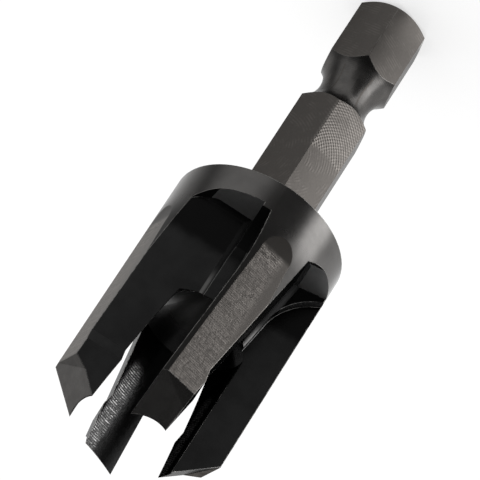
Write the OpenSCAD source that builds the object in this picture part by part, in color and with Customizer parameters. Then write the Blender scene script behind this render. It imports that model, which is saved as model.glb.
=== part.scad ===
// Plug cutter with four milled fingers, a collar and a grooved hex shank, all one piece of steel.
// It stands on the end of its shank, with the finger tips up, and Z = 0 is what it stands on.
//
// Every module except the last is drawn the way round that the tool works, on its own axis. There the
// collar's shank-side face is Z = 0, the shank goes up and the fingers go down. A finger's own frame has X
// outwards from the axis and Y towards its trailing side, so the cutting face looks to -Y. The tool turns
// clockwise, seen from the shank.

/* [Head] */
// Outer diameter of the head
head_d = 15.875; // [14:0.125:24]
// Diameter of the plug that the fingers cut
plug_d = 9.525; // [7:0.125:11.5]
// Length of the head, from the collar's shank-side face to the finger tips
head_l = 25.3; // [20:0.1:34]
// Straight length of the bore, from the finger tips
bore_l = 13.6; // [10:0.1:18]
// Full angle of the bore's pointed end
bore_point = 92; // [90:2:150]

/* [Slots] */
// Thickness of the collar at its rim, above the slots
collar_t = 2.5; // [1.5:0.1:5]
// Rise of the slot's ceiling towards the rim, in degrees
ceiling_rise = 10; // [0:1:20]
// Width across the core between two slot floors, at the collar's shank-side face
core_w = 10.66; // [9:0.1:13]
// Lean of the slot's floor towards the axis, in degrees
floor_lean = 7.5; // [4:0.5:10]
// Distance from the axis to the slot's end wall
end_wall = 0.9; // [0.4:0.1:2]
// Distance from the axis to the slot's rounded corner
corner_reach = 5.8; // [4:0.1:7]
// Radius of the slot's rounded corner
corner_r = 3; // [1:0.25:4]
// Fillet along the slot's floor
floor_fillet = 0.7; // [0.3:0.1:1]

/* [Cutting faces] */
// How far the cutting face would stand behind the axis at the collar's shank-side face
face_offset = 0.741; // [0.4:0.05:1.2]
// Lean of the cutting face, in degrees
face_lean = 3.2; // [0:0.2:5]
// Depth at which the cutting face starts to run out towards the collar
face_run_out = 10; // [7:0.5:14]
// Radius of the wheel's path where the cutting face runs out
face_run_out_r = 36; // [20:1:60]
// Step left between the cutting face and the slot's floor
face_step = 0.35; // [0.2:0.05:0.6]
// Depth at which the outline of the cutting face starts to round outwards
face_round = 7.4; // [6:0.1:10]
// Radius of the rounded outline of the cutting face
face_round_r = 5.8; // [4.5:0.1:7]

/* [Relief] */
// Direction of the relief flat behind the cutting edge, in degrees
flat_angle = 17; // [10:0.5:24]
// Depth of the relief flat below the outer surface, at the collar's shank-side face
flat_depth = 0.05; // [0:0.05:0.4]
// Back taper of the relief flat, in degrees
flat_taper = 0.8; // [0:0.1:2]
// Depth at which the relief flat starts to run out
flat_run_out = 6.1; // [5:0.1:10]
// Radius of the run-out of the relief flat
flat_run_out_r = 12; // [8:1:20]
// Direction of the heel, in degrees
heel_angle = 76.5; // [70:0.5:84]
// Depth of the heel below the outer surface, at the collar's shank-side face
heel_depth = 1.76; // [1.5:0.05:2.2]
// Back taper of the heel, in degrees
heel_taper = 5.24; // [3:0.2:7]
// Depth at which the heel starts to run out
heel_run_out = 9; // [7:0.5:12]
// Radius of the run-out of the heel
heel_run_out_r = 30; // [20:1:40]
// Slope of the finger's end, up towards the outer surface, in degrees
tip_bevel = 44; // [20:1:50]
// Slope of the finger's end, up towards the trailing side, in degrees
tip_clearance = 18.7; // [6:0.5:24]
// Height above the finger tips at which the end's second slope meets the outer surface
second_rise = 3.3; // [2.4:0.1:4.5]
// Second slope of the finger's end, up towards the outer surface, in degrees
second_bevel = 30; // [20:1:40]
// Second slope of the finger's end, up towards the trailing side, in degrees
second_clearance = 8; // [4:0.5:16]

/* [Shank] */
// Width of the hex shank across its flats
shank_af = 6.35; // [6:0.05:10]
// Length of the shank
shank_l = 26.55; // [22:0.25:60]
// Turn of the hex against the fingers, in degrees
shank_turn = -5.3; // [-30:0.5:30]
// Diameter of the neck at the bottom of the groove
neck_d = 4.8; // [4:0.1:5.4]
// Distance from the shank's end to the middle of the groove
groove_from_end = 9.7; // [8:0.1:12]
// Radius of the groove
groove_r = 4; // [3:0.1:6]
// Radius of the shank's flat end inside its chamfer
end_face_r = 2.9; // [2.4:0.05:3.1]
// Angle of the shank's end chamfer, in degrees
end_chamfer = 41; // [30:1:60]

/* [Rest] */
// Turn of the tool about its own axis as it stands, in degrees
stand_turn = -119; // [-180:1:180]

/* [Hidden] */
$fn = 96;

finger_count = 4;
head_r = head_d / 2;
plug_r = plug_d / 2;
shank_vertex_r = shank_af / sqrt(3);
reach = 2 * head_d;            // clear of the head on every side
arc_lap = 0.01;                // how far an arc crosses the faces that it runs into
side_lap = 0.1;                // how far a finger's own cuts reach past its trailing side
tip_y = face_y(-head_l);        // the inner corner of the cutting edge, the finger's lowest point
tip_x = sqrt(pow(plug_r, 2) - pow(tip_y, 2));

// How far a leaning line is from its own start, at height z
function lean_at(lean, z) = tan(lean) * z;

// Where the cutting face stands at height z
function face_y(z) = face_offset + lean_at(face_lean, z);

// Where the slot's ceiling meets its floor
corner_x = (core_w / 2 - tan(floor_lean) * (collar_t + tan(ceiling_rise) * head_r))
    / (1 - tan(floor_lean) * tan(ceiling_rise));
corner_z = (corner_x - core_w / 2) / tan(floor_lean);

function ray(angle, length) = length * [cos(angle), sin(angle)];

// Material that fills the corner at the origin between two rays, up to an arc of radius r
module corner_fillet(from, to, r) {
    middle = (from + to) / 2;
    half = (to - from) / 2;
    foot = r / tan(half);
    difference() {
        polygon([ray(from, foot), ray(to, foot), ray(middle + 180, r)]);
        translate(ray(middle, r / sin(half))) circle(r + 2 * arc_lap);
    }
}

// Open wedge between two rays whose corner is rounded
module rounded_wedge(from, to, r) {
    middle = (from + to) / 2;
    half = (to - from) / 2;
    foot = r / tan(half);
    polygon([ray(from, foot), ray(from, reach), ray(middle, reach / cos(half)), ray(to, reach), ray(to, foot)]);
    translate(ray(middle, r / sin(half))) circle(r);
}

// Path of a wheel that comes up along a leaning line and lifts out along an arc.
// All that lies right of the path is cut away, X is the distance from the axis and Y is the height.
module wheel_run(distance, lean, run_out, radius) {
    bottom = -head_l - radius;
    start = [distance + lean_at(lean, -run_out), -run_out];
    foot = [distance + lean_at(lean, bottom), bottom];
    right = start[0] + radius;
    polygon([start, foot, [right, bottom], [right, start[1]], start + ray(-lean, radius)]);
}

module wheel_lift(distance, lean, run_out, radius) {
    translate([distance + lean_at(lean, -run_out), -run_out] + ray(-lean, radius)) circle(radius + arc_lap, $fn = 180);
}

module wheel_path(distance, lean, run_out, radius) {
    wheel_run(distance, lean, run_out, radius);
    wheel_lift(distance, lean, run_out, radius);
}

// A flat outline swept across the direction that an angle gives, on both sides of the axis
module swept_across(angle, width) {
    rotate([90, 0, angle]) linear_extrude(width, center = true) children();
}

module slot_front() {
    // The outline seen from outside: Y across, Z up, with the ceiling at the rim as Z = 0
    intersection() {
        translate([-corner_reach, 0]) rounded_wedge(-120, 0, corner_r);
        translate([-end_wall - reach, -reach * 2]) square([reach, reach * 3]);
    }
}

module slot() {
    difference() {
        intersection() {
            translate([head_r, 0, -collar_t]) rotate([0, -ceiling_rise, 0])
                rotate([90, 0, 90]) linear_extrude(2 * head_r, center = true) slot_front();
            translate([core_w / 2, 0, 0]) rotate([0, floor_lean, 0])
                translate([0, -reach, -2 * reach]) cube([reach, 2 * reach, 3 * reach]);
        }
        // Fillet between the floor and the end wall
        translate([core_w / 2, -end_wall, 0]) rotate([0, floor_lean, 0])
            translate([0, 0, -reach]) linear_extrude(reach) corner_fillet(-90, 0, floor_fillet);
        // Fillet between the floor and the ceiling
        translate([corner_x, 0, corner_z])
            swept_across(0, 2 * reach) corner_fillet(-90 - floor_lean, ceiling_rise, floor_fillet);
    }
}

// The ground face of a finger: its straight part and, above that, its run-out towards the collar
module cutting_face() {
    intersection() {
        swept_across(-90, reach) wheel_run(-face_offset, -face_lean, face_run_out, face_run_out_r);
        face_outline();
    }
    intersection() {
        swept_across(-90, reach) wheel_lift(-face_offset, -face_lean, face_run_out, face_run_out_r);
        face_outline();
    }
}

module face_outline() {
    swept_across(0, 1.5 * head_d) wheel_path(core_w / 2 + face_step, floor_lean, face_round, face_round_r);
}

// The side of the next slot's floor on which a finger stands
module own_side() {
    rotate([90, 0, 90]) linear_extrude(reach)
        polygon([
            [0, reach], [0, -2 * reach],
            [core_w / 2 + side_lap + lean_at(floor_lean, -2 * reach), -2 * reach],
            [core_w / 2 + side_lap + lean_at(floor_lean, reach), reach]
        ]);
}

module relief_flat() {
    swept_across(flat_angle, head_d)
        wheel_path(head_r - flat_depth, flat_taper, flat_run_out, flat_run_out_r);
}

module heel() {
    intersection() {
        swept_across(heel_angle, 2 * head_d)
            wheel_path(head_r - heel_depth, heel_taper, heel_run_out, heel_run_out_r);
        own_side();
    }
}

// The sloping end of a finger, lowest at the inner corner of its cutting edge. What both slopes cut is
// cut, so the second one leaves the outer corner of the trailing side longer.
module tip_slope() {
    intersection() {
        translate([tip_x, tip_y, -head_l]) rotate([tip_clearance, -tip_bevel, 0])
            translate([-2, -1.5, -reach]) cube([reach, core_w / 2 + 1.5, reach]);
        translate([head_r, tip_y, second_rise - head_l]) rotate([second_clearance, -second_bevel, 0])
            translate([-reach, -3, -reach]) cube([1.5 * reach, core_w + 3, reach]);
    }
}

module bore() {
    point_l = plug_r / tan(bore_point / 2);
    translate([0, 0, -head_l - 1]) cylinder(r = plug_r, h = bore_l + 1);
    translate([0, 0, -head_l + bore_l]) cylinder(r1 = plug_r, r2 = 0, h = point_l);
}

module head() {
    color("dimgray") difference() {
        translate([0, 0, -head_l - 0.5]) cylinder(r = head_r, h = head_l + 0.5);
        bore();
        for (i = [0:finger_count - 1]) rotate([0, 0, i * 360 / finger_count]) {
            slot();
            cutting_face();
            relief_flat();
            heel();
            tip_slope();
        }
    }
}

// Half of the shank's turned outline: the end chamfer and the groove
module shank_outline() {
    chamfer_l = (shank_vertex_r + 1 - end_face_r) * tan(end_chamfer);
    difference() {
        polygon([
            [0, -1], [shank_vertex_r + 1, -1], [shank_vertex_r + 1, shank_l - chamfer_l],
            [end_face_r, shank_l], [0, shank_l]
        ]);
        translate([neck_d / 2 + groove_r, shank_l - groove_from_end]) circle(groove_r);
    }
}

module shank() {
    color("gray") intersection() {
        rotate([0, 0, shank_turn]) translate([0, 0, -1]) cylinder(r = shank_vertex_r, h = shank_l + 2, $fn = 6);
        rotate_extrude() shank_outline();
    }
}

// The whole tool, stood on the end of its shank
module plug_cutter() {
    translate([0, 0, shank_l]) rotate([180, 0, stand_turn]) {
        head();
        shank();
    }
}

plug_cutter();
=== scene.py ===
# %% [markdown]
# The plug cutter stands on the end of its hex shank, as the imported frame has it, with its four
# fingers up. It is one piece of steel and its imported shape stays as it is, so no mesh is modelled
# here. This script gives each surface the finish that the grinder, the reamer and the blackening
# bath left on it, and then sets up the floor, the light and the camera.

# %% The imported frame
from math import cos, radians, sin, tau

import bpy
import numpy as np
from mathutils import Matrix, Vector


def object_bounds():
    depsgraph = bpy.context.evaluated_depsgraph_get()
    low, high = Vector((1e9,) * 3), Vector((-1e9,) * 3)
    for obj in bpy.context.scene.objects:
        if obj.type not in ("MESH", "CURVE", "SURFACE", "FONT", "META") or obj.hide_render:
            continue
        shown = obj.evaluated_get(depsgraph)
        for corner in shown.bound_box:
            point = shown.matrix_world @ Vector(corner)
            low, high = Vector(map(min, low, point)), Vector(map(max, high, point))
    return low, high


MM = 1000

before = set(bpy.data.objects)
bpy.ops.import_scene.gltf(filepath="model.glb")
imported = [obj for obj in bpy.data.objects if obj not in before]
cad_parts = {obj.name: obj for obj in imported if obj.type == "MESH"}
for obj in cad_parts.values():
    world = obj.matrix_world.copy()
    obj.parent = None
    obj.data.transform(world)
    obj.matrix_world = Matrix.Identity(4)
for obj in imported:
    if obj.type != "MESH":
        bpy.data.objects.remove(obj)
cad_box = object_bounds()
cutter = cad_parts["plug_cutter"]
tall = round(MM * cad_box[1].z, 2)
print("the cutter has", len(cutter.data.polygons), "triangles and is", tall, "mm tall")

# %% [markdown]
# The camera stands above the fingers, far away behind a long lens, so the tool shows almost no
# perspective. It is turned over, which makes the tool hang down to the left in the picture. A
# constraint that tracks a target keeps a camera upright, so the two directions of the picture are
# written out instead, and the third direction follows from them.

# %% The camera
CAMERA_PLACE = Vector((-0.161814, -0.293825, 0.267241))
PICTURE_RIGHT = Vector((-0.886506, 0.129251, -0.444298))
PICTURE_DOWN = Vector((-0.241388, 0.690002, 0.68237))
LENS_MM = 365.63
SENSOR_MM = 36
NEAREST_SEEN = 0.01
FARTHEST_SEEN = 20


def camera_matrix(place, right, down):
    """A camera's own axes are the picture's right and up, and the way back from what it looks at."""
    up = -down
    back = right.cross(up)
    axes = Matrix((right, up, back)).transposed().to_4x4()
    return Matrix.Translation(place) @ axes


camera = bpy.data.objects.new("camera", bpy.data.cameras.new("camera"))
bpy.context.scene.collection.objects.link(camera)
camera.matrix_world = camera_matrix(CAMERA_PLACE, PICTURE_RIGHT, PICTURE_DOWN)
camera.data.sensor_width = SENSOR_MM
camera.data.lens = LENS_MM
camera.data.clip_start = NEAREST_SEEN
camera.data.clip_end = FARTHEST_SEEN
bpy.context.scene.camera = camera
bpy.context.scene.view_settings.view_transform = "Standard"
print("the camera is", round(CAMERA_PLACE.length, 3), "m from the foot of the shank")

# %% [markdown]
# A pattern such as 0.5 * sine + 0.5 takes three boxes in the node editor and one line here. A Wire
# holds one output socket, and the operators between wires and numbers add the Math nodes. Python
# tries the reflected forms, such as __rsub__, where a plain number stands on the left.

# %% Wires


class Wire:
    """One output socket, which Python's operators join to others through Math nodes."""

    def __init__(self, tree, socket):
        self.tree = tree
        self.socket = socket

    def __add__(self, other):
        return self.tree.math("ADD", self, other)

    def __sub__(self, other):
        return self.tree.math("SUBTRACT", self, other)

    def __rsub__(self, other):
        return self.tree.math("SUBTRACT", other, self)

    def __mul__(self, other):
        return self.tree.math("MULTIPLY", self, other)

    __radd__ = __add__
    __rmul__ = __mul__


print("a wire can be added, subtracted and multiplied")

# %% [markdown]
# Every other node comes from one method, which sets the node up before it joins its inputs, since
# some settings change the sockets. Colours and vectors go through Mix and Vector Math, because a
# Math node would turn them grey.

# %% Trees


class Tree:
    """The node tree of a material or of the world, emptied first."""

    def __init__(self, owner):
        owner.use_nodes = True
        self.nodes = owner.node_tree.nodes
        self.links = owner.node_tree.links
        self.nodes.clear()

    def node(self, kind, settings=None, inputs=None, output=0):
        """Adds a node, sets it up, joins its inputs by name or number, and returns one output."""
        made = self.nodes.new(kind)
        for name, value in (settings or {}).items():
            setattr(made, name, value)
        for name, value in (inputs or {}).items():
            if isinstance(value, Wire):
                self.links.new(value.socket, made.inputs[name])
            else:
                made.inputs[name].default_value = value
        return Wire(self, made.outputs[output]) if made.outputs else None

    def math(self, operation, *values):
        return self.node("ShaderNodeMath", {"operation": operation}, dict(enumerate(values)))

    def vector(self, operation, *values, output=0):
        return self.node("ShaderNodeVectorMath", {"operation": operation}, dict(enumerate(values)), output)

    def mix(self, share, first, second):
        """The first colour where share is 0 and the second where it is 1."""
        return self.node("ShaderNodeMix", {"data_type": "RGBA"}, {0: share, 6: first, 7: second}, 2)

    def xyz(self, place):
        """The three parts of a place, each a wire."""
        parts = self.node("ShaderNodeSeparateXYZ", None, {0: place}).socket.node
        return [Wire(self, socket) for socket in parts.outputs]

    def length(self, first, second):
        """The long side of the right angle that has these two sides."""
        return self.math("SQRT", first * first + second * second)

    def smooth(self, value, low, high):
        """0 where the value is at low, 1 where it is at high, and a smooth step between."""
        inputs = {"Value": value, "From Min": low, "From Max": high}
        return self.node("ShaderNodeMapRange", {"interpolation_type": "SMOOTHSTEP"}, inputs)

    def noise(self, place, scale, detail=3.0, roughness=0.6):
        inputs = {"Vector": place, "Scale": scale, "Detail": detail, "Roughness": roughness}
        return self.node("ShaderNodeTexNoise", None, inputs)

    def swell(self, place, scale):
        """A softer noise, with little fine grain in it."""
        return self.noise(place, scale, detail=2.0, roughness=0.5)


print("a tree adds nodes of any type")

# %% [markdown]
# The tool is easiest to describe on axes of its own, in millimetres: the origin is on the axis at
# the collar's back, the shank goes up from it and the fingers go down, one in each quarter turn. The
# frame stands the tool the other way up and turns it. The same turn is made once with numpy, to sort
# the triangles, and once with a Mapping node, to place the patterns.

# %% The tool's own axes
STAND_TURN = radians(-119)
SHANK_L = 26.55


def to_tool(vectors, offset):
    """Vectors on the tool's axes: X and Y are mirrored about a line at half the stand turn, and Z is
    flipped and moved by the offset, which is 0 for a direction."""
    c, s = cos(STAND_TURN), sin(STAND_TURN)
    turn = np.array([[c, s, 0], [s, -c, 0], [0, 0, -1]])
    return vectors @ turn.T + [0, 0, offset]


def tool_place(tree):
    """The same turn in a shader, from Object coordinates to the tool's axes in millimetres."""
    here = tree.node("ShaderNodeTexCoord", None, None, "Object")
    inputs = {
        "Vector": here,
        "Location": (0, 0, SHANK_L),
        "Rotation": (0, 0, STAND_TURN),
        "Scale": (MM, -MM, -MM),
    }
    return tree.node("ShaderNodeMapping", {"vector_type": "POINT"}, inputs)


def faces_of(mesh):
    """The middle and the normal of every triangle, on the tool's axes."""
    middle = np.empty(3 * len(mesh.polygons), np.float32)
    normal = np.empty_like(middle)
    mesh.polygons.foreach_get("center", middle)
    mesh.polygons.foreach_get("normal", normal)
    return to_tool(MM * middle.reshape(-1, 3), SHANK_L), to_tool(normal.reshape(-1, 3), 0)


middle, normal = faces_of(cutter.data)
lowest, highest = middle[:, 2].min().round(1), middle[:, 2].max().round(1)
print("heights on the tool's axes run from", lowest, "to", highest, "mm")

# %% [markdown]
# One steel has many finishes, and where one ends is settled by which tool made the face. So each
# triangle is sorted by where it is and which way it looks. The measures below answer that for all
# triangles at once: how far its middle is from the axis, how high it is, how much it tilts towards
# the shank (above 0) or towards the tips (below 0), and the compass direction that it faces. A
# finger's quarter turn is counted from a direction in the gap before it.

# %% Measures of every triangle
QUARTER = 90
QUARTER_FROM = -23
LEVEL_ENOUGH = 0.9

radius = np.hypot(middle[:, 0], middle[:, 1])
height = middle[:, 2]
tilt = normal[:, 2]
facing = np.degrees(np.arctan2(normal[:, 1], normal[:, 0]))
finger_facing = (facing - QUARTER_FROM) % QUARTER + QUARTER_FROM
sideways = np.hypot(normal[:, 0], normal[:, 1]) > LEVEL_ENOUGH
outwards = (normal[:, :2] * middle[:, :2]).sum(1) > 0


def near(values, centre, reach):
    """True where a value is closer to the centre than the reach."""
    return np.abs(values - centre) < reach


def between(values, limits):
    """True where a value lies between the two limits."""
    return (values > limits[0]) & (values < limits[1])


print(int(sideways.sum()), "triangles look sideways, and", int(outwards.sum()), "look away from the axis")

# %% [markdown]
# Each finish is a set of triangles. A triangle that is in two sets belongs to the later one, so the
# sets start with what is left over, the blackened skin, and end with what is surest. Lengths are
# millimetres on the tool's axes. The slots come first: their flat ceilings look straight at the
# tips, and their corners are rounded, both down the floor's side and round the ceiling. A low step
# near each tip looks a little towards the shank.

# %% Inside the slots
CEILING_TILT = -0.9
STEP_TILTS = (0.1, 0.25)
CORNER_TO_R = 6.7
CORNER_FACING = 45
CORNER_REACH = 42
TOP_CORNER_HEIGHTS = (-6.0, -1.5)
TOP_CORNER_TILTS = (-0.96, -0.15)

side_corner = (radius < CORNER_TO_R) & near(facing % QUARTER, CORNER_FACING, CORNER_REACH)
top_corner = between(height, TOP_CORNER_HEIGHTS) & between(tilt, TOP_CORNER_TILTS)
zones = {
    "blackened": np.ones(len(height), bool),
    "ceiling": tilt < CEILING_TILT,
    "flank_step": between(tilt, STEP_TILTS),
    "corner": side_corner | top_corner,
}
print("the slots have", len(zones), "finishes")

# %% [markdown]
# The rim and the lands are all that is left of the bar's own turned surface, so their triangles lie
# at the head's full radius. A relief flat faces 17 degrees, on its finger's count. The ends slope at
# the tips, and the wall and the cone of the bore look towards the axis.

# %% Outside of the head, and the bore
HEAD_R = 7.9375
BORE_R = 4.7625
RIM_SLACK = 0.06
BORE_SLACK = 0.02
RELIEF_FACING = 17
RELIEF_REACH = 3
RELIEF_FROM_R = 6.5
RELIEF_BELOW = -4.3
ENDS_BELOW = -20.5
ENDS_TILT = -0.3
BORE_BELOW = -1.0

relief_facing = near(finger_facing, RELIEF_FACING, RELIEF_REACH)
zones["turned_rim"] = outwards & (radius > HEAD_R - RIM_SLACK)
zones["relief_flat"] = relief_facing & (radius > RELIEF_FROM_R) & (height < RELIEF_BELOW)
zones["ground_end"] = (height < ENDS_BELOW) & (tilt < ENDS_TILT)
zones["bore"] = (radius < BORE_R + BORE_SLACK) & ~outwards & (height < BORE_BELOW)
print("the head has", len(zones), "finishes")

# %% [markdown]
# The shank is everything above the collar's back. Its six flats are found by their directions, and
# what is left of it was turned.

# %% The shank, and the slot of every triangle
HEX_TURN = -5.3
HEX_STEP = 60
FLAT_REACH = 0.5
BACK_SLACK = 0.01

on_shank = height > BACK_SLACK
zones["turned_shank"] = on_shank
zones["hex_flat"] = on_shank & sideways & near((facing - HEX_TURN) % HEX_STEP, HEX_STEP / 2, FLAT_REACH)

slot_of = np.zeros(len(height), np.int32)
for slot, chosen in enumerate(zones.values()):
    slot_of[chosen] = slot
print("sorted", len(slot_of), "triangles into", len(zones), "finishes")

# %% [markdown]
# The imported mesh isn't changed. Its material slots are filled with one empty steel for each finish,
# each triangle is given the number of its slot, and the cells below dress the steels one by one.

# %% A material slot for each finish
steels = {name: bpy.data.materials.new("steel_" + name) for name in zones}
cutter.data.materials.clear()
for steel in steels.values():
    cutter.data.materials.append(steel)
cutter.data.polygons.foreach_set("material_index", slot_of)
print("the cutter has", len(cutter.data.materials), "material slots")

# %% [markdown]
# All edges of the real tool are a little round. Rounding them in the mesh would take thousands of
# faces, so the Bevel node bends the shading there instead, and edges catch the light. Where its
# normal parts from the face's own lies an edge, and there the film is rubbed thin in places and the
# bare steel shows.

# %% Worn edges
EDGE_R = 0.12 / MM
BEVEL_SAMPLES = 8
FLAT_ALIKE = 0.985
EDGE_ALIKE = 0.9


def worn_edge(tree):
    """The rounded normal, and 1 on an edge and 0 away from it."""
    rounded = tree.node("ShaderNodeBevel", {"samples": BEVEL_SAMPLES}, {"Radius": EDGE_R})
    own = tree.node("ShaderNodeNewGeometry", None, None, "Normal")
    alike = tree.vector("DOT_PRODUCT", rounded, own, output="Value")
    return rounded, tree.smooth(alike, FLAT_ALIKE, EDGE_ALIKE)


print("edges are shaded with a radius of", round(MM * EDGE_R, 2), "mm")

# %% [markdown]
# Every finish starts from the same shader, a metal. What differs is the grey of its film, how rough
# it is, which marks the tool left, and how much of a low light it gives back. Bare metal mirrors
# almost all of a low light, which would outline every dark face with white. An oxide film swallows
# it, and Specular Tint says how much is left. The ceilings and the bore keep sharp edges, because a
# bevel that is wider than the ledge beside it draws a false bright line.

# %% The steel that every finish starts from
BARE_STEEL = (0.42, 0.41, 0.395, 1)
BARE_SCALE = 2.2
BARE_SPOTS = (0.35, 0.6)
BARE_ROUGHER = 0.3
DULL = 0.08


def dress_steel(name, paint, grazing=DULL, round_edges=True):
    """Fills a steel: paint(tree, place) gives its colour, its roughness, its marks as a height in
    millimetres, and its wear, which is the share of bare steel on its edges."""
    tree = Tree(steels[name])
    place = tool_place(tree)
    rounded, edge = worn_edge(tree)
    colour, roughness, marks, wear = paint(tree, place)
    bare = edge * wear * tree.smooth(tree.noise(place, BARE_SCALE, detail=2.0), *BARE_SPOTS)
    bump = {"Height": marks, "Distance": 1 / MM, "Strength": 1.0}
    if round_edges:
        bump["Normal"] = rounded
    inputs = {
        "Base Color": tree.mix(bare, colour, BARE_STEEL),
        "Metallic": 1.0,
        "Roughness": roughness + bare * BARE_ROUGHER,
        "Normal": tree.node("ShaderNodeBump", None, bump),
        "Specular Tint": (grazing, grazing, grazing, 1),
    }
    surface = tree.node("ShaderNodeBsdfPrincipled", None, inputs)
    tree.node("ShaderNodeOutputMaterial", None, {"Surface": surface})
    print(name, "covers", int((slot_of == list(steels).index(name)).sum()), "triangles")


print("a dull film gives back", DULL, "of the lowest light")

# %% [markdown]
# The colours are greys, and the ground and turned ones are a little warm, as a thin oxide film
# makes them. A film is never quite even, so it is two close greys that slow noise mixes.

# %% Greys and films
GREEN_SHARE = 0.54
DRIFT = (0.3, 0.7)


def grey(level, warmth=0.0):
    """A grey whose blue falls short of its red by the warmth, and its green by about half of it."""
    return (level, level * (1 - GREEN_SHARE * warmth), level * (1 - warmth), 1)


def film(tree, place, dark, light, scale=0.35):
    """A grey between two colours that drifts over a few millimetres, as a bath leaves it."""
    drift = tree.smooth(tree.noise(place, scale), *DRIFT)
    return tree.mix(drift, dark, light)


print("a warm grey of level 0.2 is", [round(part, 3) for part in grey(0.2, 0.1)[:3]])

# %% [markdown]
# The flanks, the cutting faces and the collar's back keep the skin of the blackening bath, smooth
# and dark with faint clouds. Deep in the slots, above a ragged line a few millimetres below the
# collar, the skin is painted almost black: a painted shade where the slots close. Two things rub the
# skin off and bare the steel: the wood at the head's outside, and the plug on the edge beside the
# bore, where the bare edge near the tips is also a painted highlight.

# %% Blackened surfaces
SKIN = (grey(0.083), grey(0.111))
SLOT_SHADE = grey(0.033)
SLOT_SHADE_Z = (-7.3, -6.1)
SLOT_SHADE_RAGGED = 0.8
BACK_Z = (-0.5, -1.5)
RUBBED_TIPS_Z = (-13.0, -15.0)
RUBBED_OUTSIDE_R = (6.6, 7.4)
BORE_EDGE_WEAR_AND_GLINT_R = (5.3, 5.0)


def paint_blackened(tree, place):
    x, y, z = tree.xyz(place)
    from_axis = tree.length(x, y)
    cloud = tree.noise(place, 0.9, detail=4.0)
    # Painted shade: 1 deep in the slots near the collar, where the skin is painted almost black.
    slot_shaded = tree.smooth(z + cloud * SLOT_SHADE_RAGGED, *SLOT_SHADE_Z) * tree.smooth(z, *BACK_Z)
    colour = tree.mix(slot_shaded, film(tree, place, *SKIN), SLOT_SHADE)
    # Bare steel on the edge beside the bore near the tips: wear, and also a painted highlight along that
    # edge.
    by_plug_and_glint = tree.smooth(from_axis, *BORE_EDGE_WEAR_AND_GLINT_R) * tree.smooth(z, *RUBBED_TIPS_Z)
    rubbed = tree.smooth(from_axis, *RUBBED_OUTSIDE_R) + by_plug_and_glint
    return colour, cloud * 0.1 + 0.18, tree.swell(place, 2.0) * 0.002, rubbed * 0.7 + 0.1


dress_steel("blackened", paint_blackened)

# %% [markdown]
# The end mill's corner left a narrow rounded strip where a slot's floor meets the next finger. High
# in the slot the strip is rough and painted almost black, a painted shade in the crease, and lower
# down it is lighter and smoother, where it catches a long thin light. Height alone blends the two.

# %% Corners of the slots
CORNER_SHADE = (grey(0.017), grey(0.033))
LOWER_CORNER = grey(0.111, 0.03)
LOWER_CORNER_Z = (-8.0, -10.0)


def paint_corner(tree, place):
    z = tree.xyz(place)[2]
    grain = tree.noise(place, 5.0)
    lower_down = tree.smooth(z, *LOWER_CORNER_Z)
    # Painted shade: the crease is near black high in the slot and lighter lower down.
    colour = tree.mix(lower_down, tree.mix(grain, *CORNER_SHADE), LOWER_CORNER)
    return colour, 0.55 - lower_down * 0.25 + grain * 0.1, grain * 0.004, lower_down * 0.5


dress_steel("corner", paint_corner)

# %% [markdown]
# The ceiling of a slot was cut by the end of the mill, which smears more than its side does. It is
# matt, with a high roughness, and its lighter grey is painted light, which stands in for light that
# reaches the ceiling in the deep slot, where it still looks evenly dark.

# %% Ceilings of the slots
CEILING_PAINTED_LIGHT = (grey(0.417), grey(0.556))


def paint_ceiling(tree, place):
    grain = tree.noise(place, 1.5)
    # The light grey is painted light, lighter than the steel's own tone.
    return tree.mix(grain, *CEILING_PAINTED_LIGHT), 0.5 + grain * 0.1, grain * 0.004, 0.0


dress_steel("ceiling", paint_ceiling, round_edges=False)

# %% [markdown]
# Near the tips the imported shape has a low step on each flank, whose face looks a little towards the
# shank. The real flank is even there. The imported shape stays as it is, so the step's face is painted
# darker, a painted shade that hides the light it catches and keeps it from standing out.

# %% Steps of the flanks
STEP_SHADE = (grey(0.044), grey(0.067))


def paint_step(tree, place):
    grain = tree.noise(place, 1.5)
    # Painted shade: the step's face is darker than the flank's skin.
    return tree.mix(grain, *STEP_SHADE), 0.25 + grain * 0.1, grain * 0.002, 0.0


dress_steel("flank_step", paint_step)

# %% [markdown]
# Many of the marks on this tool are evenly spaced lines: rings of the lathe, scratches of the wheel,
# ribs of the reamer and arcs of the mill. All are one formula, a sine of some distance, and only the
# distance differs. A little slow noise in the sine keeps the lines from looking printed. Their
# pitches are about as fine as a picture of this size can show.

# %% Evenly spaced lines
WANDER = 2.0


def lines_along(tree, distance, pitch, place):
    """Waves from 0 to 1: half of 1 plus the sine of one turn for each pitch, with a little wander."""
    wander = tree.swell(place, 1.2) * WANDER
    phase = distance * (tau / pitch) + wander
    return tree.math("SINE", phase) * 0.5 + 0.5


print("lines wander by up to", round(WANDER / tau, 2), "of their pitch")

# %% [markdown]
# The collar's rim and the narrow lands beside each relief flat were turned on the lathe, so fine
# rings run round the axis. They are a bump with the height as its distance, and they blur the lights
# in the rim along the axis. The lands rub in the cut, and are darker and duller than the rim.

# %% Turned rim and lands
RING_PITCH = 0.2
RING_DEPTH = 0.0006
TURNED_WARMTH = 0.06
RIM = (grey(0.111, TURNED_WARMTH), grey(0.135, TURNED_WARMTH))
LANDS = grey(0.056, TURNED_WARMTH)
RIM_Z = (-6.5, -3.0)


def paint_turned(tree, place):
    z = tree.xyz(place)[2]
    rim = tree.smooth(z, *RIM_Z)
    colour = tree.mix(rim, LANDS, film(tree, place, *RIM))
    roughness = 0.4 - rim * 0.2 + tree.noise(place, 2.5) * 0.1
    return colour, roughness, lines_along(tree, z, RING_PITCH, place) * RING_DEPTH, 1.0


dress_steel("turned_rim", paint_turned, grazing=0.82)

# %% [markdown]
# The bore and the relief flats also need to know how far round its finger a place is. The angle
# round the axis is wrapped into a quarter turn, so one pattern serves all four fingers.

# %% The angle within a finger


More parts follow.
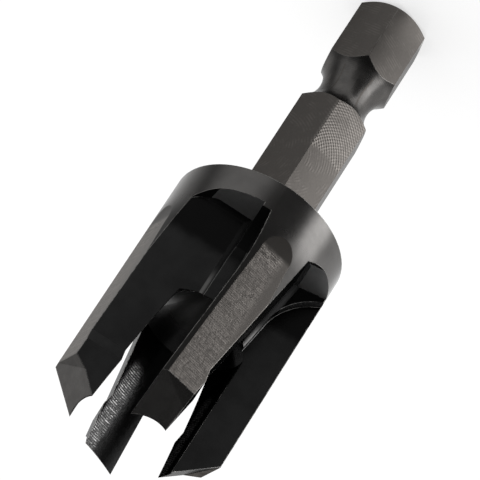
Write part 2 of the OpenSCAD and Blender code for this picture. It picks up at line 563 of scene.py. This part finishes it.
def finger_angle(tree, x, y):
    """The angle round the axis within a finger's quarter turn, in degrees."""
    angle = tree.math("ARCTAN2", y, x) * (360 / tau)
    return tree.math("WRAP", angle, QUARTER_FROM + QUARTER, QUARTER_FROM)


print("a finger's angles run from", QUARTER_FROM, "to", QUARTER_FROM + QUARTER, "degrees")

# %% [markdown]
# The relief flats are the brightest faces of the head. A grinding wheel crossed them square to the
# finger, so they carry close straight scratches, deep next to the cutting edge and fading towards
# the trailing side. Where the wheel entered, below the flat's rounded top, it tore dark dashes into
# the steel, and the top itself kept its skin. The dashes and streaks are noise on a place that is
# stretched along the axis, which makes each blot short in height and long across the flat.

# %% Ground relief flats
SCRATCH_PITCH = 0.21
SCRATCH_DEPTH = 0.02
GROUND_WARMTH = 0.135
GROUND_SKIN = grey(0.056, GROUND_WARMTH)
GROUND = (grey(0.147, GROUND_WARMTH), grey(0.317, GROUND_WARMTH))
DEEP_ANGLES = (25.0, 19.0)
RUN_OUT_Z = (-6.4, -5.8)
TORN_Z = (-7.7, -6.7)
TORN_SHARE = 0.8
STREAK_STRETCH = (0.7, 0.7, 5.0)
DASH_STRETCH = (1.4, 1.4, 5.5)


def dashes(tree, place, stretch, limits):
    """Noise with blots drawn out across the axis, as a share between the two limits."""
    noise = tree.noise(tree.vector("MULTIPLY", place, stretch), 1.0, roughness=0.7)
    return tree.smooth(noise, *limits)


def paint_ground_flat(tree, place):
    x, y, z = tree.xyz(place)
    ground = 1 - tree.smooth(z, *RUN_OUT_Z)
    deep = tree.smooth(finger_angle(tree, x, y), *DEEP_ANGLES)
    torn = tree.smooth(z, *TORN_Z) * TORN_SHARE
    uneven = tree.noise(place, 2.0, roughness=0.7)
    streaks = dashes(tree, place, STREAK_STRETCH, (0.35, 0.65))
    lines = lines_along(tree, z, SCRATCH_PITCH, place) * 0.4 + streaks * 0.6
    rough = lines * deep * tree.smooth(uneven, 0.25, 0.6) * (torn + 0.7) * ground
    pits = dashes(tree, place, DASH_STRETCH, (0.46, 0.6)) * deep * torn * ground
    colour = tree.mix(pits, tree.mix(rough, *GROUND), GROUND_SKIN)
    colour = tree.mix(ground, GROUND_SKIN, colour)
    return colour, 0.42 + rough * 0.08, rough * SCRATCH_DEPTH + uneven * 0.002, 1.0


dress_steel("relief_flat", paint_ground_flat, grazing=0.8)

# %% [markdown]
# The sloping ends, which make the cutting points, were ground with a finer wheel: smooth, light and
# a little cloudy, with no scratch that the eye can follow. Two close greys and a low bump are enough.

# %% Ground ends
FINE_GROUND = (grey(0.183, TURNED_WARMTH), grey(0.222, TURNED_WARMTH))


def paint_ground_end(tree, place):
    colour = film(tree, place, *FINE_GROUND, scale=0.8)
    return colour, 0.2 + tree.noise(place, 2.0) * 0.06, tree.swell(place, 2.5) * 0.003, 0.8


dress_steel("ground_end", paint_ground_end)

# %% [markdown]
# The bore was drilled and reamed, and the reamer chattered: short ribs run round the wall of each
# finger, in a band down its middle and only towards the tips. They are waves along the axis that
# noise breaks up, and their light grey is a painted highlight, given only in the band where the
# highlight falls. Towards the cutting edge the wall is a little lighter. The cone that the drill's
# point left at the top is matt, and painted light at its top that fades to dark below.

# %% The bore
CHATTER_PITCH = 0.24
CHATTER_DEPTH = 0.016
CHATTER_Z = (-14.5, -16.0)
BAND_TRAILING = (37.0, 31.0)
BAND_LEADING = (18.0, 24.0)
LIGHTER_ANGLES = (22.0, 12.0)
CONE_Z = (-11.4, -8.1)
BORE_RUBBED_Z = (-14.0, -15.0)
WALL = (grey(0.039), grey(0.167))
RIB_HIGHLIGHT = grey(0.344, 0.015)
CONE_PAINTED_LIGHT = grey(0.222, 0.023)


def paint_bore(tree, place):
    x, y, z = tree.xyz(place)
    angle = finger_angle(tree, x, y)
    broken = tree.smooth(tree.noise(place, 2.6, 4.0, 0.8), 0.35, 0.58) * 0.85 + 0.15
    band = tree.smooth(angle, *BAND_TRAILING) * tree.smooth(angle, *BAND_LEADING)
    strong = tree.smooth(z, *CHATTER_Z) * broken * band
    ribs = lines_along(tree, z, CHATTER_PITCH, place) * strong
    cone = tree.smooth(z, *CONE_Z)
    colour = tree.mix(tree.smooth(angle, *LIGHTER_ANGLES), *WALL)
    # Painted highlight on the ribs, and painted light on the top of the cone.
    colour = tree.mix(cone, tree.mix(ribs, colour, RIB_HIGHLIGHT), CONE_PAINTED_LIGHT)
    marks = ribs * CHATTER_DEPTH + broken * 0.003
    return colour, 0.2 + cone * 0.25, marks, tree.smooth(z, *BORE_RUBBED_Z)


dress_steel("bore", paint_bore, round_edges=False)

# %% [markdown]
# The hex was milled with a face mill that swept along each flat, and its teeth left arcs. On a flat,
# an arc is a ring about a point beside the flat's middle line, so the pattern needs only the height
# and the distance across from that line, which is the same sum for all six flats.

# %% Arcs on a hex flat
ARC_PITCH = 0.27
ARC_CENTRE_Z = 6.5
ARC_ASIDE = 3.6


def across_flat(tree, x, y):
    """How far a place is from its flat's middle line: its radius times the sine of the angle to it."""
    angle = tree.math("ARCTAN2", y, x) * (360 / tau)
    within = tree.math("WRAP", angle, HEX_TURN + HEX_STEP, HEX_TURN) - (HEX_TURN + HEX_STEP / 2)
    return tree.length(x, y) * tree.math("SINE", within * (tau / 360))


def arcs(tree, across, z, aside, place):
    """Lines at an even pitch round a point that lies aside from the flat's middle line."""
    return lines_along(tree, tree.length(across + aside, z - ARC_CENTRE_Z), ARC_PITCH, place)


print("the arcs are", ARC_PITCH, "mm apart")

# %% [markdown]
# On one flat, below the groove, two sets of arcs cross and catch the light like a knurl. That patch
# ends at an arc towards the collar and straight at its other end. Over the rest of the hex one set
# of arcs goes on, faint and in places.

# %% The hex flats
ARC_DEPTH = 0.008
MARKED_DIRECTION = radians(HEX_TURN + HEX_STEP / 2)
MARKED_OUT = (2.9, 3.1)
PATCH_ARC_Z = 3.0
PATCH_ARC_R = (5.4, 5.9)
PATCH_END_Z = (15.0, 14.0)
MILLED = (grey(0.081, GROUND_WARMTH), grey(0.106, GROUND_WARMTH))
ARC_CREST = grey(0.2, GROUND_WARMTH)


def marked_patch(tree, x, y, across, z):
    """1 in the patch: out on its own flat, beyond its arc and before its end."""
    out = tree.smooth(x * cos(MARKED_DIRECTION) + y * sin(MARKED_DIRECTION), *MARKED_OUT)
    beyond_arc = tree.smooth(tree.length(across, z - PATCH_ARC_Z), *PATCH_ARC_R)
    return out * beyond_arc * tree.smooth(z, *PATCH_END_Z)


def paint_hex(tree, place):
    x, y, z = tree.xyz(place)
    across = across_flat(tree, x, y)
    patch = marked_patch(tree, x, y, across, z)
    uneven = tree.noise(place, 0.8)
    fine = tree.noise(place, 5.0)
    faint = tree.smooth(uneven, 0.45, 0.65) * 0.5
    crossed = arcs(tree, across, z, -ARC_ASIDE, place) * patch * tree.smooth(uneven, 0.3, 0.6)
    lines = arcs(tree, across, z, ARC_ASIDE, place) * (patch + faint) + crossed
    colour = tree.mix(lines * 0.5, tree.mix(fine, *MILLED), ARC_CREST)
    return colour, 0.3 + uneven * 0.1, lines * ARC_DEPTH + fine * 0.003, 0.3


dress_steel("hex_flat", paint_hex, grazing=0.55)

# %% [markdown]
# The groove, the end face and its chamfer were turned. The groove is polished by the balls that lock
# into it, and soft dents from them, here slow noise, make its long highlight waver.

# %% The turned parts of the shank
GROOVE_RING_PITCH = 0.14
GROOVE_RING_DEPTH = 0.001
DENT_DEPTH = 0.02
POLISHED = (grey(0.094, TURNED_WARMTH), grey(0.128, 0.08))


def paint_turned_shank(tree, place):
    z = tree.xyz(place)[2]
    lines = lines_along(tree, z, GROOVE_RING_PITCH, place) * GROOVE_RING_DEPTH
    colour = film(tree, place, *POLISHED, scale=0.7)
    return colour, 0.24 + tree.noise(place, 3.0) * 0.08, lines + tree.swell(place, 1.5) * DENT_DEPTH, 0.8


dress_steel("turned_shank", paint_turned_shank, grazing=0.55)

# %% [markdown]
# Polished dark steel is mostly a picture of the room, so its look is made by what it mirrors. Round
# the tool the studio is pale at the back and dark on the camera's side, with one narrow bright panel
# at the left and a weaker one at the camera's right. These are the sides that someone who stands at
# the camera sees, and the turned-over picture swaps them. A panel is a compass direction with a soft
# edge, in degrees, and the world and the floor share this list, so that a mirrored panel goes on
# from one into the other. Its start is where its glow fans out on the floor, in millimetres from the
# tool's foot, and near is how much of the glow is left close to the foot.

# %% The panels of the studio
DARK_SIDE = 0.125
PANELS = {
    "pale_back": {
        "middle": 85, "inner": 60, "outer": 122, "strength": 0.99, "start": (0, 0), "near": 1,
    },
    "back_centre": {
        "middle": 80, "inner": 10, "outer": 40, "strength": 0.36, "start": (0, 0), "near": 1,
    },
    "camera_right": {
        "middle": -67, "inner": 5, "outer": 40, "strength": 0.59, "start": (-5.7, 3.5), "near": 1,
    },
    "left_strip": {
        "middle": -178.5, "inner": 2, "outer": 18, "strength": 2.97, "start": (6.2, -0.2), "near": 0.5,
    },
}


def panel_light(tree, direction, panel):
    """1 inside the panel's own angle round the tool, falling smoothly to 0 at its outer angle."""
    level = tree.vector("NORMALIZE", tree.vector("MULTIPLY", direction, (1, 1, 0)))
    towards = (cos(radians(panel["middle"])), sin(radians(panel["middle"])), 0)
    alike = tree.vector("DOT_PRODUCT", level, towards, output="Value")
    return tree.smooth(alike, cos(radians(panel["outer"])), cos(radians(panel["inner"])))


def sky_light(tree, direction):
    """What the steel sees of the studio in a direction."""
    total = DARK_SIDE
    for panel in PANELS.values():
        total = panel_light(tree, direction, panel) * panel["strength"] + total
    return total


print("the studio has", len(PANELS), "panels:", ", ".join(PANELS))

# %% [markdown]
# The floor is one pale sheet. The Light Path node lets it answer three kinds of rays in three ways.
# For the camera it is white paper that keeps the tool's shadow, lifted to white by a little light of
# its own. For the steel's mirror rays it is the studio's light, and for all else plain paper.

# %% The floor's paper
FLOOR_GREY = (0.5, 0.5, 0.5, 1)
FLOOR_LIFT = 0.6
WHITE = (1, 1, 1, 1)
FOOT_REACH = (0.006, 0.024)


def light_path(tree, name):
    """1 for rays of the named kind and 0 for all others."""
    return tree.node("ShaderNodeLightPath", None, None, name)


def floor_light(tree, place):
    """What the steel sees of the studio at a place on the floor."""
    far = tree.smooth(tree.vector("LENGTH", place, output="Value"), *FOOT_REACH)
    total = DARK_SIDE
    for panel in PANELS.values():
        start = Vector((*panel["start"], 0)) / MM
        spread = tree.vector("SUBTRACT", place, start)
        fade = far * (1 - panel["near"]) + panel["near"]
        total = panel_light(tree, spread, panel) * fade * panel["strength"] + total
    return total


def dress_floor(material):
    tree = Tree(material)
    place = tree.node("ShaderNodeTexCoord", None, None, "Object")
    paper = tree.node("ShaderNodeBsdfDiffuse", None, {"Color": FLOOR_GREY})
    lift = tree.node("ShaderNodeEmission", None, {"Color": WHITE, "Strength": FLOOR_LIFT})
    white = tree.node("ShaderNodeAddShader", None, {0: paper, 1: lift})
    mirrored = tree.node("ShaderNodeEmission", None, {"Color": floor_light(tree, place), "Strength": 1.0})
    seen = {0: light_path(tree, "Is Camera Ray"), 1: paper, 2: white}
    plain = tree.node("ShaderNodeMixShader", None, seen)
    reached = {0: light_path(tree, "Is Glossy Ray"), 1: plain, 2: mirrored}
    surface = tree.node("ShaderNodeMixShader", None, reached)
    tree.node("ShaderNodeOutputMaterial", None, {"Surface": surface})


floor_paper = bpy.data.materials.new("floor_paper")
dress_floor(floor_paper)
print("the floor's paper has", len(floor_paper.node_tree.nodes), "nodes")

# %% [markdown]
# The floor is so wide that the picture doesn't reach its edge.

# %% The floor
FLOOR_HALF = 3.0

corners = [(-1, -1), (1, -1), (1, 1), (-1, 1)]
floor_mesh = bpy.data.meshes.new("floor")
floor_mesh.from_pydata([(x * FLOOR_HALF, y * FLOOR_HALF, 0) for x, y in corners], [], [(0, 1, 2, 3)])
floor_mesh.materials.append(floor_paper)
floor = bpy.data.objects.new("floor", floor_mesh)
bpy.context.scene.collection.objects.link(floor)
print("the floor is", 2 * FLOOR_HALF, "m across")

# %% [markdown]
# The world does the same for rays that leave the scene: white for the camera, the panels for the
# steel, and soft light for all else. The panels fade out upwards, so overhead is almost black. That
# is what keeps the cutting faces and the insides of the slots as dark as they are.

# %% The world
FADE_UP = (0.62, 0.08)
OVERHEAD_GLOW = 0.035
ROOM_LIGHT = 0.75


def dress_world(world):
    tree = Tree(world)
    direction = tree.node("ShaderNodeTexCoord", None, None, "Generated")
    upwards = tree.xyz(direction)[2]
    panels = sky_light(tree, direction) * tree.smooth(upwards, *FADE_UP) + OVERHEAD_GLOW
    room = light_path(tree, "Is Camera Ray") * (1 - ROOM_LIGHT) + ROOM_LIGHT
    strength = room + light_path(tree, "Is Glossy Ray") * (panels - room)
    sky = tree.node("ShaderNodeBackground", None, {"Color": WHITE, "Strength": strength})
    tree.node("ShaderNodeOutputWorld", None, {"Surface": sky})


world = bpy.context.scene.world or bpy.data.worlds.new("studio")
bpy.context.scene.world = world
dress_world(world)
print("the world has", len(world.node_tree.nodes), "nodes")

# %% [markdown]
# One soft lamp above the tool gives the floor its shadow. The steel doesn't mirror it, because the
# panels already are what it mirrors.

# %% The lamp
LAMP_SIZE = 0.5
LAMP_POWER = 0.6
LAMP_PLACE = Vector((0.1, 0.15, 0.5))

lamp = bpy.data.objects.new("overhead_lamp", bpy.data.lights.new("overhead_lamp", "AREA"))
lamp.data.size = LAMP_SIZE
lamp.data.energy = LAMP_POWER
lamp.location = LAMP_PLACE
lamp.rotation_mode = "QUATERNION"
lamp.rotation_quaternion = LAMP_PLACE.to_track_quat("Z", "Y")
lamp.visible_glossy = False
bpy.context.scene.collection.objects.link(lamp)
print("the lamp is", round(LAMP_PLACE.length, 2), "m from the tool's foot")
